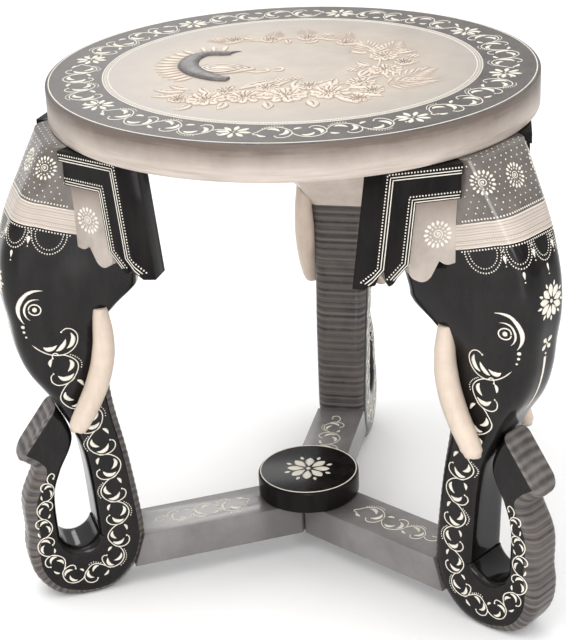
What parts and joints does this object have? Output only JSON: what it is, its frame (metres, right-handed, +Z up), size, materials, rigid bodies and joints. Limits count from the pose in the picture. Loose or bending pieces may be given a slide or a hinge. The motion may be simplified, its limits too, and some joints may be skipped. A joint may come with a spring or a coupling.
{
  "type": "round side table",
  "caption": "Low round wooden side table carried by carved elephant-head legs with curled trunks, joined by a stretcher frame with a round centre boss.",
  "frame": {"origin": "centre of the top's upper face, on the table's axis", "axes": "+Z up along the table's axis, +Y toward the rear leg, which stands opposite the pictured front"},
  "size_m": [0.436, 0.4354, 0.42],
  "materials": {
    "top_paint": "hand-painted cream and grey under satin lacquer, raised decoration",
    "black_lacquer": "glossy black lacquer with white painted scrolls, cream band and grey ridged faces",
    "ear_lacquer": "glossy black lacquer with dotted white edging and a cream panel",
    "grey_paint": "satin grey paint with white painted scrolls",
    "ivory_paint": "satin ivory paint",
    "bare_wood": "plain turned dowel",
    "zinc_steel": "zinc-plated"
  },
  "bodies": {
    "root": {"table_top": "top_paint", "centre_boss": "black_lacquer", "rear_leg": "black_lacquer", "rear_ear_left": "ear_lacquer", "rear_ear_right": "ear_lacquer", "rear_tusk_left": "ivory_paint", "rear_tusk_right": "ivory_paint", "rear_stretcher_arm": "grey_paint", "rear_leg_bolt": "zinc_steel", "rear_leg_dowel": "bare_wood", "rear_arm_dowel": "bare_wood", "rear_boss_screw": "zinc_steel", "rear_ear_dowel_left": "bare_wood", "rear_ear_dowel_right": "bare_wood", "rear_tusk_pin_left": "zinc_steel", "rear_tusk_pin_right": "zinc_steel", "left_leg": "black_lacquer", "left_ear_left": "ear_lacquer", "left_ear_right": "ear_lacquer", "left_tusk_left": "ivory_paint", "left_tusk_right": "ivory_paint", "left_stretcher_arm": "grey_paint", "left_leg_bolt": "zinc_steel", "left_leg_dowel": "bare_wood", "left_arm_dowel": "bare_wood", "left_boss_screw": "zinc_steel", "left_ear_dowel_left": "bare_wood", "left_ear_dowel_right": "bare_wood", "left_tusk_pin_left": "zinc_steel", "left_tusk_pin_right": "zinc_steel", "right_leg": "black_lacquer", "right_ear_left": "ear_lacquer", "right_ear_right": "ear_lacquer", "right_tusk_left": "ivory_paint", "right_tusk_right": "ivory_paint", "right_stretcher_arm": "grey_paint", "right_leg_bolt": "zinc_steel", "right_leg_dowel": "bare_wood", "right_arm_dowel": "bare_wood", "right_boss_screw": "zinc_steel", "right_ear_dowel_left": "bare_wood", "right_ear_dowel_right": "bare_wood", "right_tusk_pin_left": "zinc_steel", "right_tusk_pin_right": "zinc_steel"}
  },
  "joints": []
}
